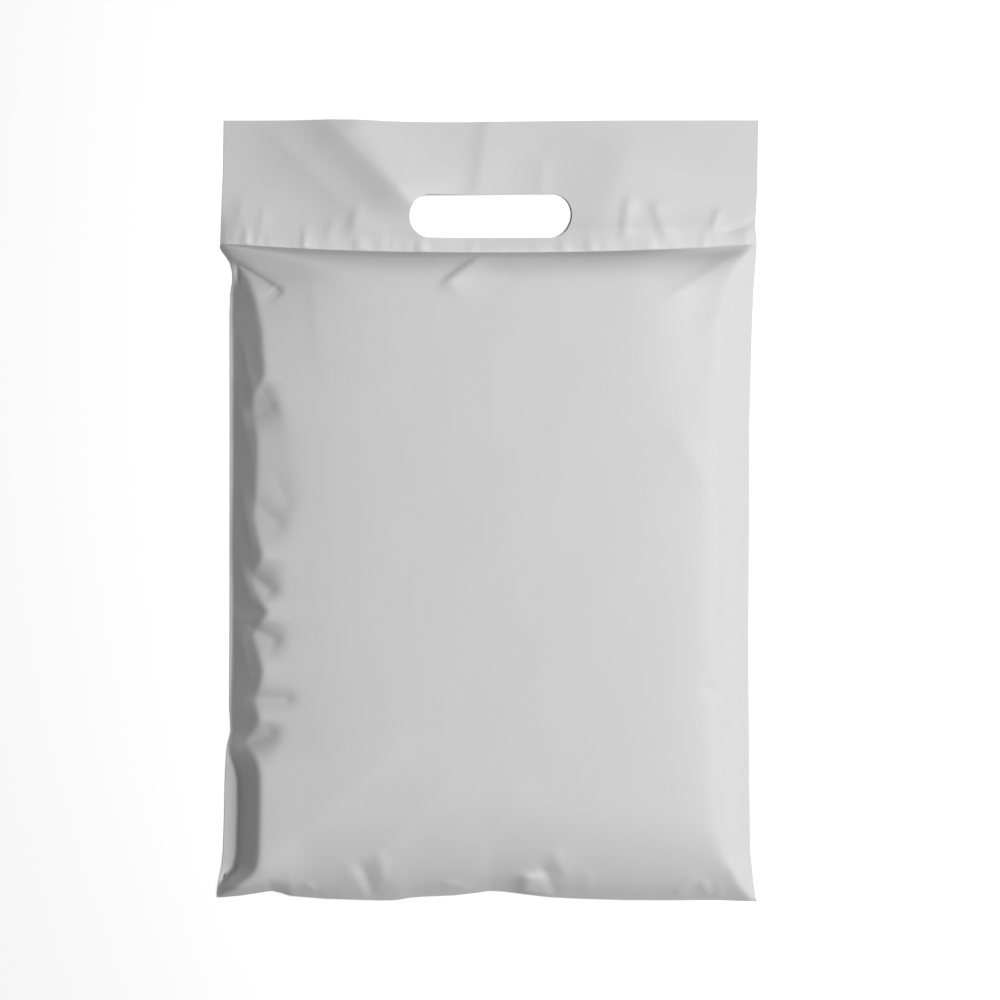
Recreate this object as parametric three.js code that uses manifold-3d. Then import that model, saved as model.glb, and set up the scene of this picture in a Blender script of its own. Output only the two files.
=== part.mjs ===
// A courier's poly mailer, packed with soft goods, sealed and lying on its back.
//
// It is one folded and welded piece of film, so it is one closed solid. The filled pocket is
// a pillow: a broad front, sides that fall to a thin edge all round, and an underside that the
// goods press flat on the floor. Past the cross weld the two plies of film lie together as a
// carrying header with a die-cut handle slot. The header leaves the pocket at the height of
// its edge and droops until its free end meets the floor.
//
// Millimetres. +Z is up, out of the front face, +Y runs towards the handle and +X towards the
// right-hand side. The origin is on the floor, under the middle of the bag's outline.
import * as THREE from "three";
import { mergeVertices } from "three/addons/utils/BufferGeometryUtils.js";
import Module from "manifold-3d";

// Driving dimensions.
const WIDTH = 300; // the film tube, pressed flat
const LENGTH = 438; // bottom edge to the header's free edge
const HEADER = 71; // cross weld to the header's free edge
const FILL_HEIGHT = 30; // floor to the middle of the front face
const EDGE_HEIGHT = 8; // floor to the pocket's thin edge
const PLIES = 0.6; // two plies of film and the air between them
const SLOT_LENGTH = 92;
const SLOT_WIDTH = 25;
const SLOT_ABOVE_WELD = 5; // film left between the weld and the slot

// How the filling reshapes the flat outline.
const SIDE_PULL = 5; // each side edge is drawn in halfway along
const SIDE_PULL_POWER = 6; // higher keeps the drawn-in stretch straight nearer to the corners
const WELD_SAG = 4; // the cross weld is drawn down in its middle
const CORNER_SPREAD = 2; // each bottom corner stands out past the flat width
const CORNER_POWER = 3; // higher keeps that spread closer to the corner
const SIDE_SHOULDER = 8; // power of the section across: higher is flatter, with steeper sides
const END_SHOULDER = 10; // the same along the bag
const SHOULDER_EASE = 0.6; // below 1 the section leaves the thin edge steeply
const UNDERSIDE_SHARE = 0.7; // the underside lies on the floor where the pocket is fuller than this
const FRONT_SHARE = 0.97; // the front lies flat over the goods where the pocket is fuller than this

const POCKET_COLUMNS = 30;
const POCKET_ROWS = 36;
const HEADER_STEPS = 14;
const SLOT_STEPS = 20;
const SAME_POINT = 1e-3; // corners closer together than this are one corner

const bottomY = -LENGTH / 2;
const freeEdgeY = LENGTH / 2;
const weldY = freeEdgeY - HEADER;
const slotY = weldY + SLOT_ABOVE_WELD + SLOT_WIDTH / 2;

const wasm = await Module();
wasm.setup();

// A closed three.js geometry as a manifold-3d solid.
function solidOf(geometry) {
  const bare = geometry.clone();
  bare.deleteAttribute("normal");
  bare.deleteAttribute("uv");
  const merged = mergeVertices(bare, SAME_POINT);
  return new wasm.Manifold(
    new wasm.Mesh({
      numProp: 3,
      vertProperties: new Float32Array(merged.getAttribute("position").array),
      triVerts: new Uint32Array(merged.index.array),
    }),
  );
}

// A manifold-3d solid as a three.js geometry.
function geometryOf(solid) {
  const mesh = solid.getMesh();
  const geometry = new THREE.BufferGeometry();
  geometry.setAttribute("position", new THREE.BufferAttribute(mesh.vertProperties, 3));
  geometry.setIndex(new THREE.BufferAttribute(mesh.triVerts, 1));
  geometry.computeVertexNormals();
  return geometry;
}

// How full the pocket is at (u, v): 1 over the goods, 0 at the thin edge. Both run from -1 to 1.
function fullness(u, v) {
  const across = Math.max(0, 1 - Math.abs(u) ** SIDE_SHOULDER);
  const along = Math.max(0, 1 - Math.abs(v) ** END_SHOULDER);
  return (across * along) ** SHOULDER_EASE;
}

// Where (u, v) of the flat pocket comes to in plan: sides drawn in, bottom corners standing out.
function planPoint(u, v) {
  const spread = CORNER_SPREAD * Math.max(0, -v) ** CORNER_POWER;
  const halfWidth = WIDTH / 2 - SIDE_PULL * (1 - v ** SIDE_PULL_POWER) + spread;
  const topY = weldY - WELD_SAG * (1 - u * u);
  return [u * halfWidth, THREE.MathUtils.lerp(bottomY, topY, (v + 1) / 2)];
}

// Spaces t closer near -1 and 1, where the section curves most.
function crowded(t) {
  return Math.sin((t * Math.PI) / 2);
}

function pocketGeometry() {
  const points = [];
  const faces = [];
  const columns = POCKET_COLUMNS + 1;
  const sideSize = columns * (POCKET_ROWS + 1);
  for (const front of [true, false]) {
    for (let j = 0; j <= POCKET_ROWS; j++) {
      for (let i = 0; i < columns; i++) {
        const u = crowded((2 * i) / POCKET_COLUMNS - 1);
        const v = crowded((2 * j) / POCKET_ROWS - 1);
        const fill = Math.min(1, fullness(u, v) / (front ? FRONT_SHARE : UNDERSIDE_SHARE));
        const face = front ? FILL_HEIGHT : 0;
        points.push(...planPoint(u, v), THREE.MathUtils.lerp(EDGE_HEIGHT, face, fill));
      }
    }
  }
  for (let j = 0; j < POCKET_ROWS; j++) {
    for (let i = 0; i < POCKET_COLUMNS; i++) {
      const a = j * columns + i;
      const [b, c, d] = [a + 1, a + columns, a + columns + 1];
      // Each quad's diagonal points at the nearest corner: no face spans the thin edge there.
      const risesRight = i < POCKET_COLUMNS / 2 === j < POCKET_ROWS / 2;
      const pair = risesRight ? [a, b, d, a, d, c] : [a, b, c, b, d, c];
      faces.push(...pair);
      faces.push(...pair.toReversed().map((n) => n + sideSize));
    }
  }
  const geometry = new THREE.BufferGeometry();
  geometry.setAttribute("position", new THREE.Float32BufferAttribute(points, 3));
  geometry.setIndex(faces);
  return geometry;
}

// Height of the header's underside: level at the weld, then an easy curve down to the floor.
function headerHeight(y) {
  const along = THREE.MathUtils.clamp((y - weldY) / HEADER, 0, 1);
  return (EDGE_HEIGHT - PLIES / 2) * (1 - THREE.MathUtils.smoothstep(along, 0, 1));
}

// The header's side view, drawn in Y and Z and drawn out along X over the bag's full width.
function headerGeometry() {
  const rootY = weldY - WELD_SAG - SLOT_ABOVE_WELD;
  const stations = Array.from({ length: HEADER_STEPS + 1 }, (_, i) =>
    THREE.MathUtils.lerp(rootY, freeEdgeY, i / HEADER_STEPS),
  );
  const underside = stations.map((y) => new THREE.Vector2(y, headerHeight(y)));
  const topside = stations.map((y) => new THREE.Vector2(y, headerHeight(y) + PLIES)).reverse();
  const sideView = new THREE.Shape([...underside, ...topside]);
  const geometry = new THREE.ExtrudeGeometry(sideView, { depth: WIDTH, bevelEnabled: false });
  geometry.rotateX(Math.PI / 2).rotateZ(Math.PI / 2); // (y, z, x) as drawn becomes (x, y, z)
  return geometry.translate(-WIDTH / 2, 0, 0);
}

// The punch that cuts the handle slot: a round-ended bar standing through the header.
function slotPunchGeometry() {
  const radius = SLOT_WIDTH / 2;
  const reach = SLOT_LENGTH / 2 - radius;
  const outline = new THREE.Shape();
  outline.absarc(reach, slotY, radius, -Math.PI / 2, Math.PI / 2, false);
  outline.absarc(-reach, slotY, radius, Math.PI / 2, (3 * Math.PI) / 2, false);
  const depth = 2 * FILL_HEIGHT;
  const extrusion = { depth, bevelEnabled: false, curveSegments: SLOT_STEPS };
  const punch = new THREE.ExtrudeGeometry(outline, extrusion);
  return punch.translate(0, 0, -depth / 2);
}

const film = new THREE.MeshStandardMaterial({ color: 0xcbcbcb, roughness: 0.42, metalness: 0 });

const pocket = solidOf(pocketGeometry());
const header = solidOf(headerGeometry());
const slotPunch = solidOf(slotPunchGeometry());
const mailer = new THREE.Mesh(geometryOf(pocket.add(header).subtract(slotPunch)), film);
mailer.name = "mailer";

const bag = new THREE.Group();
bag.add(mailer);

export default bag;
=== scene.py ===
import math

import bpy
import numpy as np
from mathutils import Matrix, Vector


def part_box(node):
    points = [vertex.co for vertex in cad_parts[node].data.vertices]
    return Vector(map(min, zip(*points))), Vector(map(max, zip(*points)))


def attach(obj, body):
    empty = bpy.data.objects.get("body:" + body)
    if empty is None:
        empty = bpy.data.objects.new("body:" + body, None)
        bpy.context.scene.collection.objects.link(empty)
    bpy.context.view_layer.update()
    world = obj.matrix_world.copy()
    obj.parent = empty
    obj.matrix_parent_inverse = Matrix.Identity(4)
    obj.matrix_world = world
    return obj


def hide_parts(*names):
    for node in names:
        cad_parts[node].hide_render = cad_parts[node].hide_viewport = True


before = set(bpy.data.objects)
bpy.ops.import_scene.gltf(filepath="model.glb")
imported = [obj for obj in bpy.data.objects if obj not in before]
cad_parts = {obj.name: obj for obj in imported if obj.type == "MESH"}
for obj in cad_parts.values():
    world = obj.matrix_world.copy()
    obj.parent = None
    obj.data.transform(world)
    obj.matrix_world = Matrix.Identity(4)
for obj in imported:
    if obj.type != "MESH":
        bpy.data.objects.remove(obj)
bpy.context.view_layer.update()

# The bag lies on its back: +Z is up, out of the front face, and +Y runs towards the handle.
# The shape is drawn in millimetres, and shape_bag brings it to metres.
MM = 0.001
low_corner, high_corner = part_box("mailer")
FREE_EDGE = high_corner[1] / MM
HEADER_LENGTH = 71  # cross weld to the header's free edge
WELD = FREE_EDGE - HEADER_LENGTH
FILM_WIDTH = 300  # the film tube, pressed flat
POCKET_LENGTH = 373  # flat film from the bottom fold to the weld
FILM_THICKNESS = 0.25
FLOOR_GAP = 0.15
SLOT_LENGTH = 91
SLOT_WIDTH = 23.6
SLOT_CENTRE = (1.3, WELD + 19.7)
SLOT_SIDES = 96  # flats round the slot's two ends
DIE_DEPTH = 20
SHARPEST_SMOOTHED = 60  # degrees between faces that are still shaded as one
CAMERA = (5.3, 6.4, 1322.2)

# Where the flat film's threads lie: places along it, and how far apart the threads are there.
ACROSS_CELLS = (
    (-FILM_WIDTH / 2, 0.95), (-112, 1.05), (-85, 2.3), (110, 2.3), (132, 1.5), (FILM_WIDTH / 2, 1.3),
)
ALONG_CELLS = (
    (0, 1.0), (22, 1.1), (50, 1.7), (325, 1.7), (352, 1.1), (POCKET_LENGTH, 0.8), (380, 1.1),
    (POCKET_LENGTH + HEADER_LENGTH, 1.9),
)

# The outline in plan. Sides: y and distance out from the middle. Ends: x and y.
LEFT_EDGE = (
    (219, 149.2), (190, 149.6), (150.5, 151.2), (147, 151.0), (141.5, 147.2), (139, 145.6), (134, 144.4),
    (129, 144.3), (122, 145.4), (110, 145.8), (40, 145.7), (-55, 145.8), (-110, 146.0),
    (-118, 145.4), (-123, 145.3), (-131, 147.3), (-137, 147.9), (-152, 148.6), (-170, 148.9), (-190, 149.6),
    (-198, 150.4), (-207, 152.2), (-219, 153.8),
)
RIGHT_EDGE = (
    (219, 150.0), (180, 149.3), (160, 148.2), (149, 149.1), (123, 147.1), (99, 146.2), (52, 145.0),
    (-80, 144.3), (-150, 144.9), (-190, 145.4), (-206, 147.0), (-219, 148.7),
)
FOOT_EDGE = (
    (-154, -216.2), (-140, -214.8), (-128, -212.9), (-122, -211.9), (-117, -212.9), (-111, -214.8),
    (-92, -216.2), (-75, -216.8), (-60, -217.2), (-52, -217.0), (-44, -215.6), (-36, -215.0), (-20, -214.4),
    (-8, -213.0), (0, -211.8), (8, -212.2), (19, -213.6), (34, -215.4), (50, -216.2), (75, -217.0),
    (128, -217.2), (150, -218.2),
)
WELD_ENDS = 149.9
WELD_SAG = 5.3  # the goods draw the middle of the weld down this far
WELD_SAG_POWER = 2.4  # higher keeps the weld straighter in its middle
TOP_DIP = (-40, 75, 1.3)  # x, reach, how far the free edge dips

# The sides fall steeply, so the flat film's outer threads lie closer together in plan: side of the
# film, how much closer, and how far in that reaches. It fades out over the last stretch to the weld.
SIDE_THREADS = ((-FILM_WIDTH / 2, 0.30, 24), (FILM_WIDTH / 2, 0.22, 24))
THREADS_EVEN_OUT = 30

# The pocket's rim stands this far off the floor.
SIDE_RIM = 0.4
FOOT_RIM = ((-154, 0.6), (-128, 1.6), (-90, 2.6), (100, 2.6), (150, 0.6))
WELD_RIM = ((-152, 1.6), (-120, 3.0), (-60, 3.4), (80, 3.4), (150, 1.0))

# The left side from the weld down: y, width of the flat lip, how far in from the edge the steep
# face and the half-steep strip behind it end, and the height there.
LEFT_FACE = (
    (150, 0.0, 2.6, 6, 7.0), (140, 0.0, 3.0, 8, 8.5), (135, 0.0, 5.2, 15, 11.0),
    (131, 0.2, 8.0, 19, 13.5), (125, 0.7, 11.2, 22, 17.5), (118, 1.4, 14.0, 18, 17.5),
    (100, 1.6, 17.8, 22, 20.5), (88, 1.8, 18.4, 24, 21.8), (76, 1.8, 19.6, 27, 22.6),
    (68, 1.8, 15.5, 26, 22.8), (60.8, 1.8, 12.2, 26, 23.0), (52, 1.8, 13.2, 29, 23.0),
    (40, 1.8, 15.4, 33, 23.2), (28, 1.8, 15.4, 35, 23.4), (20, 1.8, 14.8, 36, 23.4),
    (6, 1.6, 14.4, 37, 23.4), (-2, 1.6, 13.0, 34, 23.2), (-14, 1.4, 15.6, 33, 23.4),
    (-25, 1.4, 18.6, 31, 23.6), (-33, 1.6, 13.8, 28, 23.2), (-38, 1.6, 11.4, 26, 23.0),
    (-45, 1.8, 14.8, 30, 23.2), (-56, 1.6, 21.8, 32, 24.0), (-63, 1.6, 15.8, 31, 23.4),
    (-67.5, 1.6, 12.4, 31, 23.2), (-76, 1.6, 15.4, 31, 23.4), (-87, 1.4, 18.8, 31, 23.6),
    (-96, 1.2, 17.2, 35, 23.6), (-104, 1.0, 13.8, 36, 23.6), (-110, 0.8, 15.8, 33, 23.4),
    (-115, 0.6, 17.0, 31, 23.2), (-123, 0.6, 12.0, 28, 22.6), (-128, 0.7, 8.4, 27, 22.2),
    (-133, 1.0, 14.0, 26, 22.4), (-137, 2.2, 17.4, 25.5, 23.0), (-142, 4.5, 19.0, 25, 23.6),
    (-150, 7.0, 19.6, 25, 23.8), (-170, 7.3, 19.8, 25.5, 23.8), (-192, 7.4, 19.8, 25, 23.4),
    (-198, 6.6, 19.0, 24, 22.0), (-203, 3.0, 16.0, 22, 19.4), (-206, 1.0, 12.6, 20, 18.0),
    (-210, 0.6, 9.6, 17, 15.6), (-219, 0.4, 8.0, 16, 15.0),
)
FACE_WIDER = 1.11  # from above, high lines look further out, so the face is drawn this much wider
STRIP_WIDER = 2.3
STRIP_RISE = 0.9  # the strip behind the face rises at least this much
LIP_SLOPE = 0.06
FACE_SLOPE = 1.18
LOW_FACE_STEEPER = 0.42  # from the nip near the foot downwards the face is this much steeper
NIP = -143
NIP_REACH = 3
SHOULDER = (62, 26.2)  # how far in the side's rise ends, and the height there
SHOULDER_SLOPE = 0.03
LEFT_BENDS = (0.35, 0.8, 1.8, 8.0)  # widths of the bends: lip to face, to strip, to front, shoulder

# The other rises to the front: slope at the edge, and then at each stop the distance from the
# edge, the slope past it, and the width of the bend. The foot and the weld state their first slope
# apart, because it changes along them.
RIGHT_SLOPE = 0.12
RIGHT_RISE = ((1.0, 1.40, 0.5), (13.5, 0.84, 2.0), (19.5, 0.10, 2.8), (37, 0.04, 6.0), (60, 0.02, 8.0))
FOOT_SLOPE = 1.10
FOOT_STEEPER = (-136, 22, 1.4)  # x and reach of the stretch at the left corner that is this much steeper
FOOT_RISE = ((8.0, 0.70, 1.5), (15, 0.44, 3.0), (26, 0.26, 5.0), (62, 0.04, 9.0))
WELD_SLOPE = 2.9
WELD_EASES = (99, 9, 2.2)  # x and reach of the place past which the slope is this much less
WELD_RISE = ((3.4, 1.50, 0.6), (8.0, 0.86, 1.5), (14.5, 0.34, 2.6), (26, 0.04, 5.0))
FRONT_HEIGHT = 28.0
SOFTNESS = 1.5  # how softly the rises meet each other and the front
EDGE_BAND = 2.5  # folds and puckers fade out over this distance to the pocket's rim
SLOW_SWELL = 0.12  # long shallow waves over the whole front

FRONT_LOOKS_LARGER = 1.015  # the front is nearer to the camera than the floor

# Folds in the pocket's front as the camera sees them: start, end, width to the left and right of
# the run, height.
FOLDS = (
    # The pleat at the weld's left end.
    ((-144, 140.5), (-119.5, 125), 1.4, 6.0, -2.4),
    ((-143.8, 140), (-142.5, 129), 1.0, 2.0, -1.1),
    ((-121, 126), (-117.5, 122), 2.2, 5.0, -0.9),
    # Pleats below the weld, from the left to its right end.
    ((-100, 127), (-96, 86), 9.0, 2.8, 0.30),
    ((-26, 126.5), (-6, 143), 1.6, 7.5, 2.2),
    ((-36, 134), (-25, 142), 2.0, 4.0, 0.4),
    ((9, 129.8), (12.5, 128.5), 1.6, 1.6, -0.30),
    ((143, 147.5), (100, 120), 7.5, 4.5, 1.2),
    ((117, 142), (98, 127), 3.5, 4.0, 0.25),
    ((142, 128), (122, 103), 5.0, 5.0, 0.5),
    # Dents behind the left face.
    ((-134, 8), (-116, -9), 5.0, 6.0, -0.9),
    ((-136, 52), (-120, 60), 5.5, 5.5, -1.3),
    ((-136, -34), (-121, -46), 5.0, 6.0, -1.6),
    ((-136, -64), (-118, -74), 5.0, 5.5, -1.6),
    ((-136, -105), (-110, -105), 4.5, 4.5, -1.7),
    ((-142, -134), (-120, -122), 5.0, 4.5, -1.7),
    ((-131, 76), (-126, 66), 4.0, 4.0, -0.5),
    ((-121, 20), (-112, 2), 6.0, 5.0, -0.5),
    # Puckers along the foot.
    ((-73.5, -198), (-67.5, -217), 4.8, 1.4, -1.9),
    ((-62.5, -190), (-60, -208), 3.2, 2.6, 0.7),
    ((-81, -196), (-78, -208), 3.0, 4.0, 0.5),
    ((-60, -194), (-61, -207), 3.0, 4.0, 0.4),
    ((-27, -209), (-12, -213), 2.2, 2.5, 0.8),
    ((21, -203.5), (19.4, -219), 8.0, 4.4, 3.2),
    ((28, -199), (36, -217), 5.0, 1.5, -1.7),
    ((34.5, -190), (42, -205), 5.5, 3.0, 1.0),
    ((54, -201), (55, -213), 3.0, 3.0, 0.4),
    ((119.5, -207), (123, -217), 1.4, 2.4, 1.1),
    ((114, -204), (105, -216), 2.8, 1.8, 0.8),
    ((135, -198), (149, -218), 1.8, 3.4, 1.4),
    ((144.6, -186), (145.6, -206), 0.9, 1.2, 0.5),
    ((-104, -209), (-99, -214), 2.0, 2.6, 0.9),
    # Soft folds down the left face, and the bottom left corner.
    ((-140, 96), (-133, 62), 3.4, 2.6, 0.7),
    ((-141, 58), (-134, 30), 2.6, 3.4, 0.6),
    ((-140, 12), (-134, -20), 3.0, 3.0, 0.7),
    ((-141, -30), (-134, -52), 3.2, 2.4, 0.7),
    ((-141, -70), (-135, -94), 3.0, 3.0, 0.6),
    ((-143.5, -201), (-153.5, -211), 1.2, 2.2, -2.2),
    # Low folds near the right side.
    ((126, 17), (131, 9), 6.0, 9.0, -0.8),
    ((104, 46), (126, 4), 9.0, 9.0, 0.6),
    ((119, -98), (131, -102), 5.0, 5.0, -0.7),
    ((127, -120), (136, -124), 5.0, 4.0, -0.7),
    # Faint edges of the folded goods, and slack towards the foot.
    ((-90, 85), (90, 84), 5.0, 3.0, 0.12),
    ((-70, 38), (60, 37), 4.0, 6.0, 0.12),
    ((1, 80), (1, 38), 3.0, 2.0, 0.12),
    ((31, 46), (48, 51), 2.0, 3.0, 0.16),
    ((-52, -130), (-110, -182), 9.0, 9.0, 0.55),
    ((-20, -145), (-70, -200), 9.0, 9.0, 0.45),
    ((20, -150), (-15, -205), 9.0, 9.0, 0.35),
)

# Folds in the header, written the same way.
HEADER_FOLDS = (
    # Broad folds that fan out from the slot.
    ((-28, 156), (-108, 236), 17.0, 28.0, 6.6),
    ((-60, 150), (-126, 216), 12.0, 14.0, 1.7),
    ((-44, 170), (-80, 224), 30.0, 15.0, 4.2),
    ((-9, 171), (1, 238), 5.0, 18.0, 1.0),
    ((30, 197), (28, 176), 3.5, 4.5, 0.45),
    ((60, 150), (78, 208), 24.0, 44.0, 2.6),
    ((-143, 146), (-139, 174), 5.0, 17.0, 1.1),
    # Short ones that start at the weld.
    ((77, 175), (74, 152), 4.2, 1.8, 1.2),
    ((91, 172), (99, 150), 5.5, 2.2, 1.3),
    ((128, 169), (123, 156), 3.2, 2.0, 0.8),
    ((131, 156.5), (151, 163), 1.5, 3.6, -1.3),
    ((-74, 171), (-79, 152), 3.4, 1.8, 0.9),
    ((-88, 164), (-91, 150), 3.0, 2.2, 0.6),
    ((-127, 170), (-128, 152), 4.0, 3.0, 0.6),
)
FOLD_SHARPNESS = 1.4  # 1 gives a fold a knife edge, 2 a round back
FOLD_LEVEL = 0.3  # from its middle a fold keeps its height over this share of its length
FOLD_END = 0.22  # and dies out over this share
HEADER_DROP = 23  # how far past the weld the header reaches the floor
HEADER_FOLDS_FROM = 12  # the header's folds grow over this distance from the weld

# Small puckers square to an edge: seed, how many, least and greatest height.
WELD_PUCKERS = (11, 52, 0.15, 0.75)
FOOT_PUCKERS = (5, 30, 0.05, 0.45)
LEFT_PUCKERS = (7, 34, 0.0, 0.30)
RIGHT_PUCKERS = (9, 34, 0.0, 0.22)
PUCKER_SPAN = 146
SIDE_TO_SPAN = 0.7  # brings a place along a side within that span

# The underside: how far in from each rim it reaches the floor, and small waves at both ends.
SIDE_LIFT = 6
END_LIFT = 16
WAVE_HEIGHT = 0.35
WAVE_REACH = 22
WAVES_FROM = 5  # the waves grow over this distance from the rim
PLY_GAP = 0.05  # the back ply stays at least this far below the front ply

# The film's finish. A pattern is how many times it repeats in a metre across and along the film.
STREAKS = (420, 9, 1)  # drawn out along the tube as it is blown
CLOUDS = (22, 16, 1)
GRAIN = (1900, 1500, 1)
DARK_FILM = (0.442, 0.443, 0.443, 1)
LIGHT_FILM = (0.466, 0.466, 0.465, 1)
FILM_ROUGHNESS = (0.46, 0.58)
FILM_SPECULAR = 0.22

# The studio, in metres and watts.
FLOOR_SIZE = 12
FLOOR_DROP = 0.00005  # keeps the floor and the film's underside from flickering into each other
FLOOR_GREY = (0.88, 0.88, 0.88, 1)
AMBIENT = 0.03
KEY_PLACE = (1.15, 0.16, 2.09)
KEY_SIZE = (0.9, 1.2)
KEY_POWER = 85
LENS = 85


def read_line(line, at):
    """Values of a table, given from either end, at some places; all its columns at once."""
    table = np.array(sorted(line), float)
    columns = [np.interp(at, table[:, 0], column) for column in table[:, 1:].T]
    return columns[0] if len(columns) == 1 else columns


def smooth_line(line, at):
    """read_line with its corners rounded over a few millimetres."""
    total = 0
    for shift, share in ((-2.4, 0.25), (0, 0.5), (2.4, 0.25)):
        total = total + share * np.array(read_line(line, at + shift))
    return total


def threads(cells):
    """Places of the threads along the flat film."""
    ends, gaps = np.array(cells, float).T
    t = np.linspace(ends[0], ends[-1], 6001)
    gap = np.interp(t, ends, gaps)
    count = np.concatenate([[0], np.cumsum(np.diff(t) * 2 / (gap[1:] + gap[:-1]))])
    return np.interp(np.linspace(0, count[-1], round(count[-1]) + 1), count, t)


def turn(d, stop, width):
    """A line that is level up to the stop and rises by one in one past it, with a rounded bend."""
    return width * (np.logaddexp(0, (d - stop) / width) - np.logaddexp(0, -stop / width))


def climb(d, first, turns):
    """Height at distance d from an edge: the slope starts at first and changes at each stop."""
    height = first * d
    slope = first
    for stop, following, width in turns:
        height = height + (following - slope) * turn(d, stop, width)
        slope = following
    return height


def ridge(x, y, start, end, left, right, height):
    """A soft ridge from start to end, falling away over left and right on its two sides."""
    run = np.subtract(end, start)
    length = math.hypot(*run)
    along = ((x - start[0]) * run[0] + (y - start[1]) * run[1]) / length
    across = ((x - start[0]) * run[1] - (y - start[1]) * run[0]) / length
    reach = np.where(across < 0, left, right)
    beyond = np.maximum(np.abs(along - length / 2) - FOLD_LEVEL * length, 0) / (FOLD_END * length)
    return height * np.exp(-np.abs(across / reach) ** FOLD_SHARPNESS - beyond ** 2)


def weld_y(x):
    """Where the cross weld runs: straight at its ends and drawn down in the middle."""
    from_middle = np.minimum(np.abs(x) / (FILM_WIDTH / 2), 1)
    return WELD_ENDS - WELD_SAG * (1 - from_middle ** WELD_SAG_POWER)


def plan(across, along):
    """Where each thread crossing of the flat film lies in plan."""
    flat_x = across[None, :] * np.ones((len(along), 1))
    closer = sum(share * np.exp(-((flat_x - side) / reach) ** 2) for side, share, reach in SIDE_THREADS)
    closer *= np.clip((POCKET_LENGTH - along[:, None]) / THREADS_EVEN_OUT, 0, 1)
    gaps = np.diff(flat_x, axis=1) * (1 - (closer[:, 1:] + closer[:, :-1]) / 2)
    share = np.concatenate([np.zeros((len(along), 1)), np.cumsum(gaps, axis=1)], axis=1)
    share /= share[:, -1:]
    v = np.clip(along / POCKET_LENGTH, 0, 1)[:, None]
    past = np.clip((along - POCKET_LENGTH) / HEADER_LENGTH, 0, 1)[:, None]
    x = FILM_WIDTH * (share - 0.5)
    y = 0
    for _ in range(3):  # the ends depend on x and the sides on y, so they are found in turn
        low = read_line(FOOT_EDGE, x)
        weld = weld_y(x)
        dip_x, dip_reach, dip = TOP_DIP
        top = FREE_EDGE - dip * np.exp(-((x - dip_x) / dip_reach) ** 2)
        y = low + (weld - low) * v + (top - weld) * past
        left = -read_line(LEFT_EDGE, y)
        x = left + (read_line(RIGHT_EDGE, y) - left) * share
    return x, y


def pocket_front(x, y):
    """Height of the pocket's front ply."""
    from_left = x + read_line(LEFT_EDGE, y)
    from_right = read_line(RIGHT_EDGE, y) - x
    from_foot = y - read_line(FOOT_EDGE, x)
    from_weld = weld_y(x) - y
    lip, face, half, half_top = smooth_line(LEFT_FACE, y)
    face = face * FACE_WIDER
    half = half + STRIP_WIDER
    face_slope = FACE_SLOPE + LOW_FACE_STEEPER / (1 + np.exp((y - NIP) / NIP_REACH))
    face_slope = np.minimum(face_slope, (half_top - STRIP_RISE - SIDE_RIM) / (face - lip))
    face_top = SIDE_RIM + LIP_SLOPE * lip + face_slope * (face - lip)
    half_slope = np.clip((half_top - face_top) / (half - face), 0.05, 1.0)
    reached = face_top + half_slope * (half - face)
    slow_slope = (SHOULDER[1] - reached) / (SHOULDER[0] - half)
    stops = (lip, face, half, SHOULDER[0])
    slopes = (face_slope, half_slope, slow_slope, SHOULDER_SLOPE)
    left = SIDE_RIM + climb(from_left, LIP_SLOPE, zip(stops, slopes, LEFT_BENDS))
    right = SIDE_RIM + climb(from_right, RIGHT_SLOPE, RIGHT_RISE)
    steep_x, steep_reach, steeper = FOOT_STEEPER
    foot_slope = FOOT_SLOPE + steeper * np.exp(-((x - steep_x) / steep_reach) ** 2)
    foot = read_line(FOOT_RIM, x) + climb(from_foot, foot_slope, FOOT_RISE)
    ease_x, ease_reach, easier = WELD_EASES
    weld_slope = WELD_SLOPE - easier / (1 + np.exp(-(x - ease_x) / ease_reach))
    head = read_line(WELD_RIM, x) + climb(from_weld, weld_slope, WELD_RISE)
    total = 0
    for rise in (left, right, foot, head, FRONT_HEIGHT):
        total = total + np.exp(-rise / SOFTNESS)
    height = -SOFTNESS * np.log(total)
    nearest_edge = np.minimum(np.minimum(from_left, from_right), np.minimum(from_foot, from_weld))
    inside = np.clip(nearest_edge / EDGE_BAND, 0, 1)
    seen_x = CAMERA[0] + (x - CAMERA[0]) * FRONT_LOOKS_LARGER
    seen_y = CAMERA[1] + (y - CAMERA[1]) * FRONT_LOOKS_LARGER
    for fold in FOLDS:
        height = height + inside * ridge(seen_x, seen_y, *fold)
    height = height + inside * puckers(FOOT_PUCKERS, x, from_foot)
    height = height + inside * puckers(LEFT_PUCKERS, y * SIDE_TO_SPAN, from_left)
    height = height + inside * puckers(RIGHT_PUCKERS, y * SIDE_TO_SPAN, from_right)
    slow = np.sin(x / 23 + 1.0) * np.sin(y / 29 + 2.0) + 0.5 * np.sin(x / 11 - y / 17)
    return height + SLOW_SWELL * inside * slow


def puckers(row, x, past):
    """A row of small puckers square to an edge. past is the distance from that edge."""
    seed, count, least, greatest = row
    rng = np.random.default_rng(seed)
    rise = 0
    for _ in range(count):
        place = rng.uniform(-PUCKER_SPAN, PUCKER_SPAN)
        height = rng.uniform(least, greatest)
        width = rng.uniform(1.2, 2.8)
        length = rng.uniform(4, 12)
        lean = rng.uniform(-0.25, 0.25)
        rise = rise + height * np.exp(-((x - place - lean * past) / width) ** 2 - (past / length) ** 2)
    return rise


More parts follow.
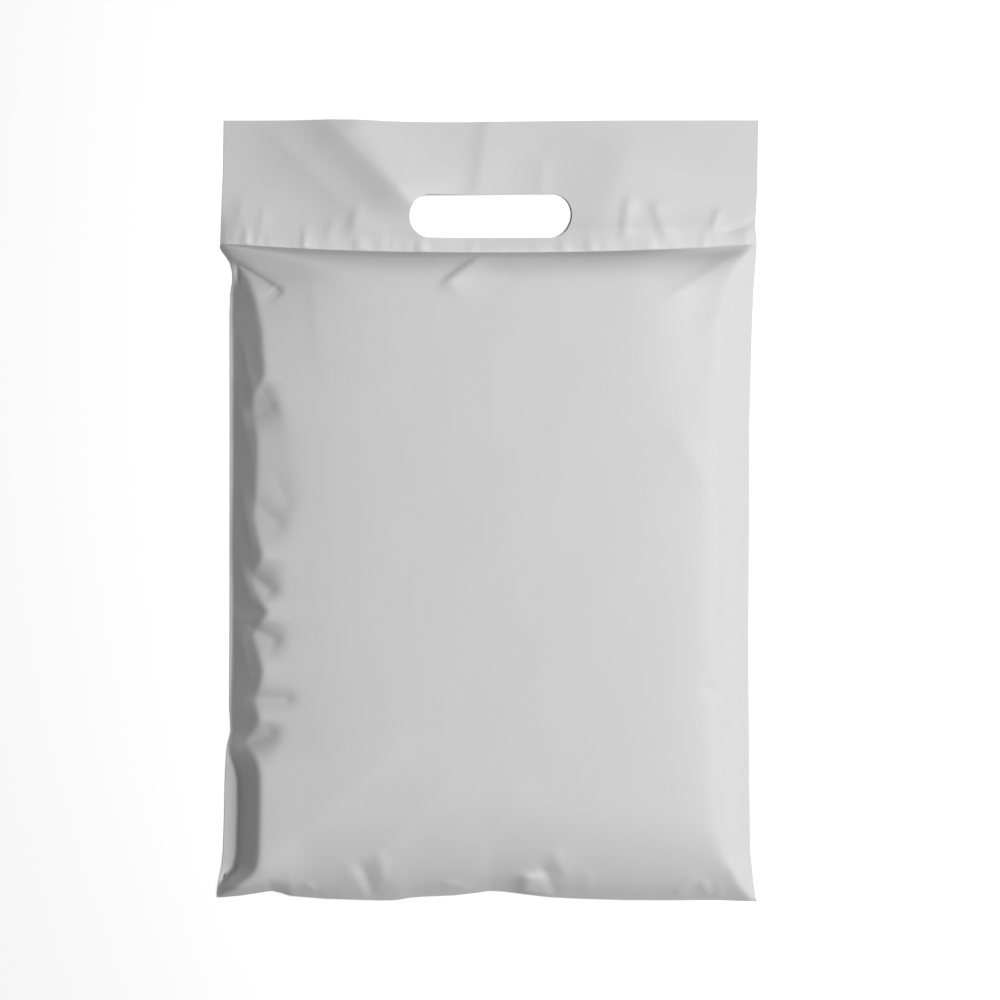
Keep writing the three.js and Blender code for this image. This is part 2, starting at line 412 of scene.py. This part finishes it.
def header_height(x, y, past, rim):
    """The header comes down from the weld to the floor, with a few soft folds in it."""
    drop = np.clip(past / HEADER_DROP, 0, 1)
    height = FLOOR_GAP + (rim - FLOOR_GAP) * (1 - drop * drop * (3 - 2 * drop))
    folds = 0
    for fold in HEADER_FOLDS:
        folds = folds + ridge(x, y, *fold)
    folds = folds * np.clip(past / HEADER_FOLDS_FROM, 0, 1) + puckers(WELD_PUCKERS, x, past)
    return np.maximum(height + folds, FLOOR_GAP)


def underside(x, y, front):
    """Height of the back ply: flat on the floor, lifting to the rim at the edges."""
    lift = np.zeros_like(x)
    sides = np.minimum(x + read_line(LEFT_EDGE, y), read_line(RIGHT_EDGE, y) - x)
    foot = y - read_line(FOOT_EDGE, x)
    weld = weld_y(x) - y
    for away, reach, rim in (
        (sides, SIDE_LIFT, SIDE_RIM),
        (foot, END_LIFT, read_line(FOOT_RIM, x)),
        (weld, END_LIFT, read_line(WELD_RIM, x)),
    ):
        lift = np.maximum(lift, (rim - FLOOR_GAP) * np.exp(-(np.maximum(away, 0) / reach) ** 2))
    nearer_end = np.minimum(foot, weld)
    wave = WAVE_HEIGHT * np.exp(-(nearer_end / WAVE_REACH) ** 2) * (1 + np.sin(x / 3.1 + np.sin(x / 9)))
    wave = wave * np.clip(nearer_end / WAVES_FROM, 0, 1)
    return np.minimum(FLOOR_GAP + lift + wave, front - PLY_GAP)


def film_places(across, along):
    """Places of both plies' thread crossings, as (3, ply, rows, columns), in millimetres."""
    x, y = plan(across, along)
    pocket_rows = along <= POCKET_LENGTH + 1e-6
    front = pocket_front(x, y)
    weld_row = int(np.nonzero(pocket_rows)[0][-1])
    past = (y - weld_y(x)) * (along > POCKET_LENGTH + 1e-6)[:, None]
    header = header_height(x, y, past, front[weld_row])
    height = np.where(pocket_rows[:, None], front, header)
    back = np.where(pocket_rows[:, None], underside(x, y, front), header)
    for rim in (np.s_[0], np.s_[weld_row], np.s_[:, 0], np.s_[:, -1]):
        back[rim] = height[rim]
    return np.stack([np.stack([x, x]), np.stack([y, y]), np.stack([height, back])])


def deselect_all():
    bpy.ops.object.select_all(action="DESELECT")


def select_only(piece):
    deselect_all()
    piece.select_set(True)
    bpy.context.view_layer.objects.active = piece


def flat_ply(name, across, along, height):
    """One ply as a flat grid, with its rows and columns where the film's threads are."""
    deselect_all()
    bpy.ops.mesh.primitive_grid_add(x_subdivisions=len(across) - 1, y_subdivisions=len(along) - 1, size=1)
    ply = bpy.context.object
    ply.name = name
    places = np.empty((len(along), len(across), 3))
    places[..., 0] = across * MM
    places[..., 1] = along[:, None] * MM
    places[..., 2] = height * MM
    ply.data.vertices.foreach_set("co", places.ravel())
    return ply


def flat_bag(across, along):
    """Both plies joined round their edges and die-cut for the handle, still flat."""
    half = FILM_THICKNESS / 2
    front = flat_ply("poly_mailer", across, along, half)
    back = flat_ply("back_ply", across, along, -half)
    bpy.ops.object.mode_set(mode="EDIT")
    bpy.ops.mesh.select_all(action="SELECT")
    bpy.ops.mesh.flip_normals()
    bpy.ops.object.mode_set(mode="OBJECT")
    select_only(front)
    back.select_set(True)
    bpy.ops.object.join()
    bpy.ops.object.mode_set(mode="EDIT")
    bpy.ops.mesh.select_mode(type="EDGE")
    bpy.ops.mesh.select_all(action="DESELECT")
    bpy.ops.mesh.select_non_manifold()
    bpy.ops.mesh.bridge_edge_loops()
    bpy.ops.object.mode_set(mode="OBJECT")
    cut_slot(front)
    return front


def cut_slot(bag):
    """Die-cut the handle slot: a round-ended bar is taken away from the flat bag."""
    radius = SLOT_WIDTH / 2 * MM
    reach = SLOT_LENGTH / 2 * MM - radius
    place = (SLOT_CENTRE[0] * MM, (SLOT_CENTRE[1] - WELD + POCKET_LENGTH) * MM, 0)
    deselect_all()
    bpy.ops.mesh.primitive_cylinder_add(
        vertices=SLOT_SIDES, radius=radius, depth=DIE_DEPTH * MM, location=place)
    die = bpy.context.object
    for vertex in die.data.vertices:
        vertex.co.x += math.copysign(reach, vertex.co.x) if abs(vertex.co.x) > 1e-6 else 0
    modifier = bag.modifiers.new("handle_slot", "BOOLEAN")
    modifier.operation = "DIFFERENCE"
    modifier.object = die
    modifier.solver = "EXACT"
    select_only(bag)
    bpy.ops.object.modifier_apply(modifier="handle_slot")
    bpy.data.objects.remove(die)


def outward(places):
    """Unit normals of both plies, both towards the front."""
    normal = np.cross(np.gradient(places, axis=3), np.gradient(places, axis=2), axis=0)
    return normal / (np.sqrt((normal * normal).sum(0)) + 1e-12)


def sample(grid, row, col):
    """Values of grid (3, rows, cols) at fractional rows and columns."""
    r = np.clip(np.floor(row).astype(int), 0, grid.shape[1] - 2)
    c = np.clip(np.floor(col).astype(int), 0, grid.shape[2] - 2)
    fr = row - r
    fc = col - c
    near = grid[:, r, c] * (1 - fc) + grid[:, r, c + 1] * fc
    far = grid[:, r + 1, c] * (1 - fc) + grid[:, r + 1, c + 1] * fc
    return near * (1 - fr) + far * fr


def flat_points(bag):
    """The mesh's points as rows of x, y and z, in metres."""
    flat = np.empty(len(bag.data.vertices) * 3)
    bag.data.vertices.foreach_get("co", flat)
    return flat.reshape(-1, 3)


def mark_film(bag):
    """A UV map that holds each point's place on the flat film, in metres."""
    flat = flat_points(bag)
    corners = np.empty(len(bag.data.loops), int)
    bag.data.loops.foreach_get("vertex_index", corners)
    layer = bag.data.uv_layers.get("film") or bag.data.uv_layers.new(name="film")
    layer.data.foreach_set("uv", flat[corners, :2].ravel())
    bag.data.uv_layers.active = layer


def shape_bag(bag, across, along):
    """Carry each point of the flat bag to its place in the filled one."""
    flat = flat_points(bag)
    places = film_places(across, along)
    normal = outward(places)
    col = np.interp(flat[:, 0] / MM, across, np.arange(len(across)))
    row = np.interp(flat[:, 1] / MM, along, np.arange(len(along)))
    moved = np.empty((3, len(flat)))
    for ply, chosen in ((0, flat[:, 2] > 0), (1, flat[:, 2] <= 0)):
        r = row[chosen]
        c = col[chosen]
        offset = FILM_THICKNESS / 2 if ply == 0 else -FILM_THICKNESS / 2
        moved[:, chosen] = sample(places[:, ply], r, c) + offset * sample(normal[:, ply], r, c)
    moved[2] = np.maximum(moved[2], 0)
    bag.data.vertices.foreach_set("co", (moved.T * MM).ravel())
    bag.data.update()


def poly_mailer():
    """The whole bag: made flat, then brought to its filled shape."""
    across = threads(ACROSS_CELLS)
    along = threads(ALONG_CELLS)
    along[np.argmin(np.abs(along - POCKET_LENGTH))] = POCKET_LENGTH
    bag = flat_bag(across, along)
    mark_film(bag)
    shape_bag(bag, across, along)
    select_only(bag)
    bpy.ops.object.shade_smooth_by_angle(angle=math.radians(SHARPEST_SMOOTHED))
    return bag


def film_material():
    """Satin silver-grey film, with faint streaks, clouds and a fine grain."""
    material = bpy.data.materials.new("satin_film")
    material.use_nodes = True
    nodes = material.node_tree.nodes
    links = material.node_tree.links
    shader = nodes["Principled BSDF"]
    shader.inputs["Specular IOR Level"].default_value = FILM_SPECULAR
    film = nodes.new("ShaderNodeTexCoord")

    def noise(scale, detail):
        place = nodes.new("ShaderNodeMapping")
        place.inputs["Scale"].default_value = scale
        links.new(film.outputs["UV"], place.inputs["Vector"])
        texture = nodes.new("ShaderNodeTexNoise")
        texture.inputs["Scale"].default_value = 1
        texture.inputs["Detail"].default_value = detail
        links.new(place.outputs["Vector"], texture.inputs["Vector"])
        return texture.outputs["Fac"]

    def spread(value, low, high):
        reach = nodes.new("ShaderNodeMapRange")
        reach.inputs["To Min"].default_value = low
        reach.inputs["To Max"].default_value = high
        links.new(value, reach.inputs["Value"])
        return reach.outputs["Result"]

    def mix(value, low, high):
        blend = nodes.new("ShaderNodeMix")
        blend.data_type = "RGBA"
        blend.inputs["A"].default_value = low
        blend.inputs["B"].default_value = high
        links.new(value, blend.inputs["Factor"])
        return blend.outputs["Result"]

    def bump(height, strength, distance):
        relief = nodes.new("ShaderNodeBump")
        relief.inputs["Strength"].default_value = strength
        relief.inputs["Distance"].default_value = distance
        links.new(height, relief.inputs["Height"])
        return relief

    streaks = noise(STREAKS, 3)
    clouds = noise(CLOUDS, 3)
    grain = noise(GRAIN, 2)
    both = nodes.new("ShaderNodeMath")
    both.operation = "MULTIPLY_ADD"
    both.inputs[1].default_value = 0.5
    links.new(streaks, both.inputs[0])
    links.new(spread(clouds, 0, 0.5), both.inputs[2])
    links.new(mix(both.outputs["Value"], DARK_FILM, LIGHT_FILM), shader.inputs["Base Color"])
    links.new(spread(streaks, *FILM_ROUGHNESS), shader.inputs["Roughness"])
    coarse = bump(streaks, 0.05, 0.0006)
    fine = bump(grain, 0.08, 0.0002)
    links.new(coarse.outputs["Normal"], fine.inputs["Normal"])
    links.new(fine.outputs["Normal"], shader.inputs["Normal"])
    return material


def plain_floor():
    deselect_all()
    bpy.ops.mesh.primitive_plane_add(size=FLOOR_SIZE, location=(0, 0, -FLOOR_DROP))
    floor = bpy.context.object
    floor.name = "studio_floor"
    material = bpy.data.materials.new("pale_floor")
    material.use_nodes = True
    shader = material.node_tree.nodes["Principled BSDF"]
    shader.inputs["Base Color"].default_value = FLOOR_GREY
    shader.inputs["Roughness"].default_value = 0.9
    floor.data.materials.append(material)


def softbox(name, place, size, power):
    """A rectangular soft light that faces the origin."""
    deselect_all()
    bpy.ops.object.light_add(type="AREA", location=place)
    lamp = bpy.context.object
    lamp.name = name
    lamp.data.shape = "RECTANGLE"
    lamp.data.size = size[0]
    lamp.data.size_y = size[1]
    lamp.data.energy = power
    lamp.rotation_euler = Vector(place).to_track_quat("Z", "Y").to_euler()


def studio():
    scene = bpy.context.scene
    world = bpy.data.worlds.new("studio")
    world.use_nodes = True
    background = world.node_tree.nodes["Background"]
    background.inputs["Color"].default_value = (1, 1, 1, 1)
    background.inputs["Strength"].default_value = AMBIENT
    scene.world = world
    scene.view_settings.view_transform = "Standard"
    plain_floor()
    softbox("key", KEY_PLACE, KEY_SIZE, KEY_POWER)
    camera = bpy.data.cameras.new("camera")
    camera.lens = LENS
    view = bpy.data.objects.new("camera", camera)
    view.location = Vector(CAMERA) * MM
    scene.collection.objects.link(view)
    scene.camera = view


bag = poly_mailer()
bag.data.materials.clear()
bag.data.materials.append(film_material())
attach(bag, "root")
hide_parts("mailer")
studio()
